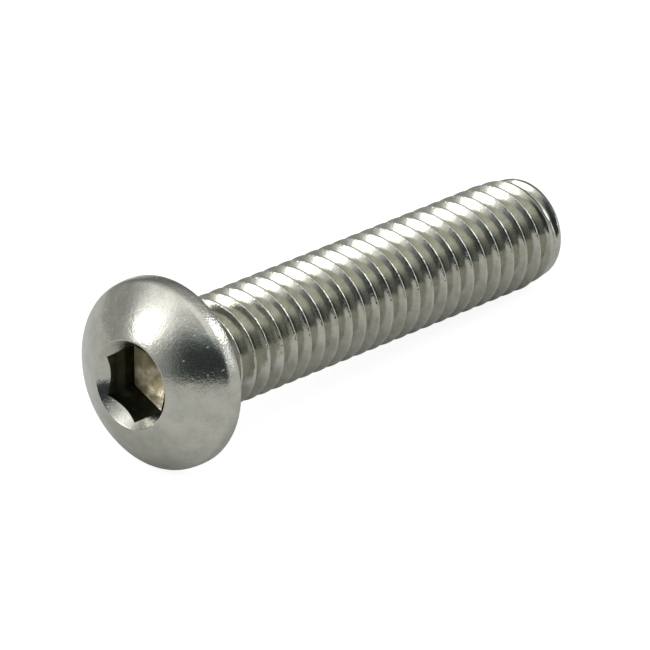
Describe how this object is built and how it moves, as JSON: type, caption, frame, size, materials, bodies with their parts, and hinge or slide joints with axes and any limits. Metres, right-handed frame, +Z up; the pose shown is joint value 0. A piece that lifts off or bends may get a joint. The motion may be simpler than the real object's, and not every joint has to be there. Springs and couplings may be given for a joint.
{
  "type": "button head machine screw",
  "caption": "Stainless machine screw with a domed button head, a hexagon socket, full right-hand thread and a tapered point, lying on its side.",
  "frame": {"origin": "middle of the footprint, on the surface that the screw lies on", "axes": "+Z up, +X from the head to the tip along the screw as it lies, with its own axis sloping 4.7 degrees down towards the tip, +Y across it"},
  "size_m": [0.0422, 0.0134, 0.0135],
  "materials": {
    "stainless": "tumbled stainless steel, satin on the head and brighter on the rolled thread"
  },
  "bodies": {
    "root": {"screw": "stainless"}
  },
  "joints": []
}
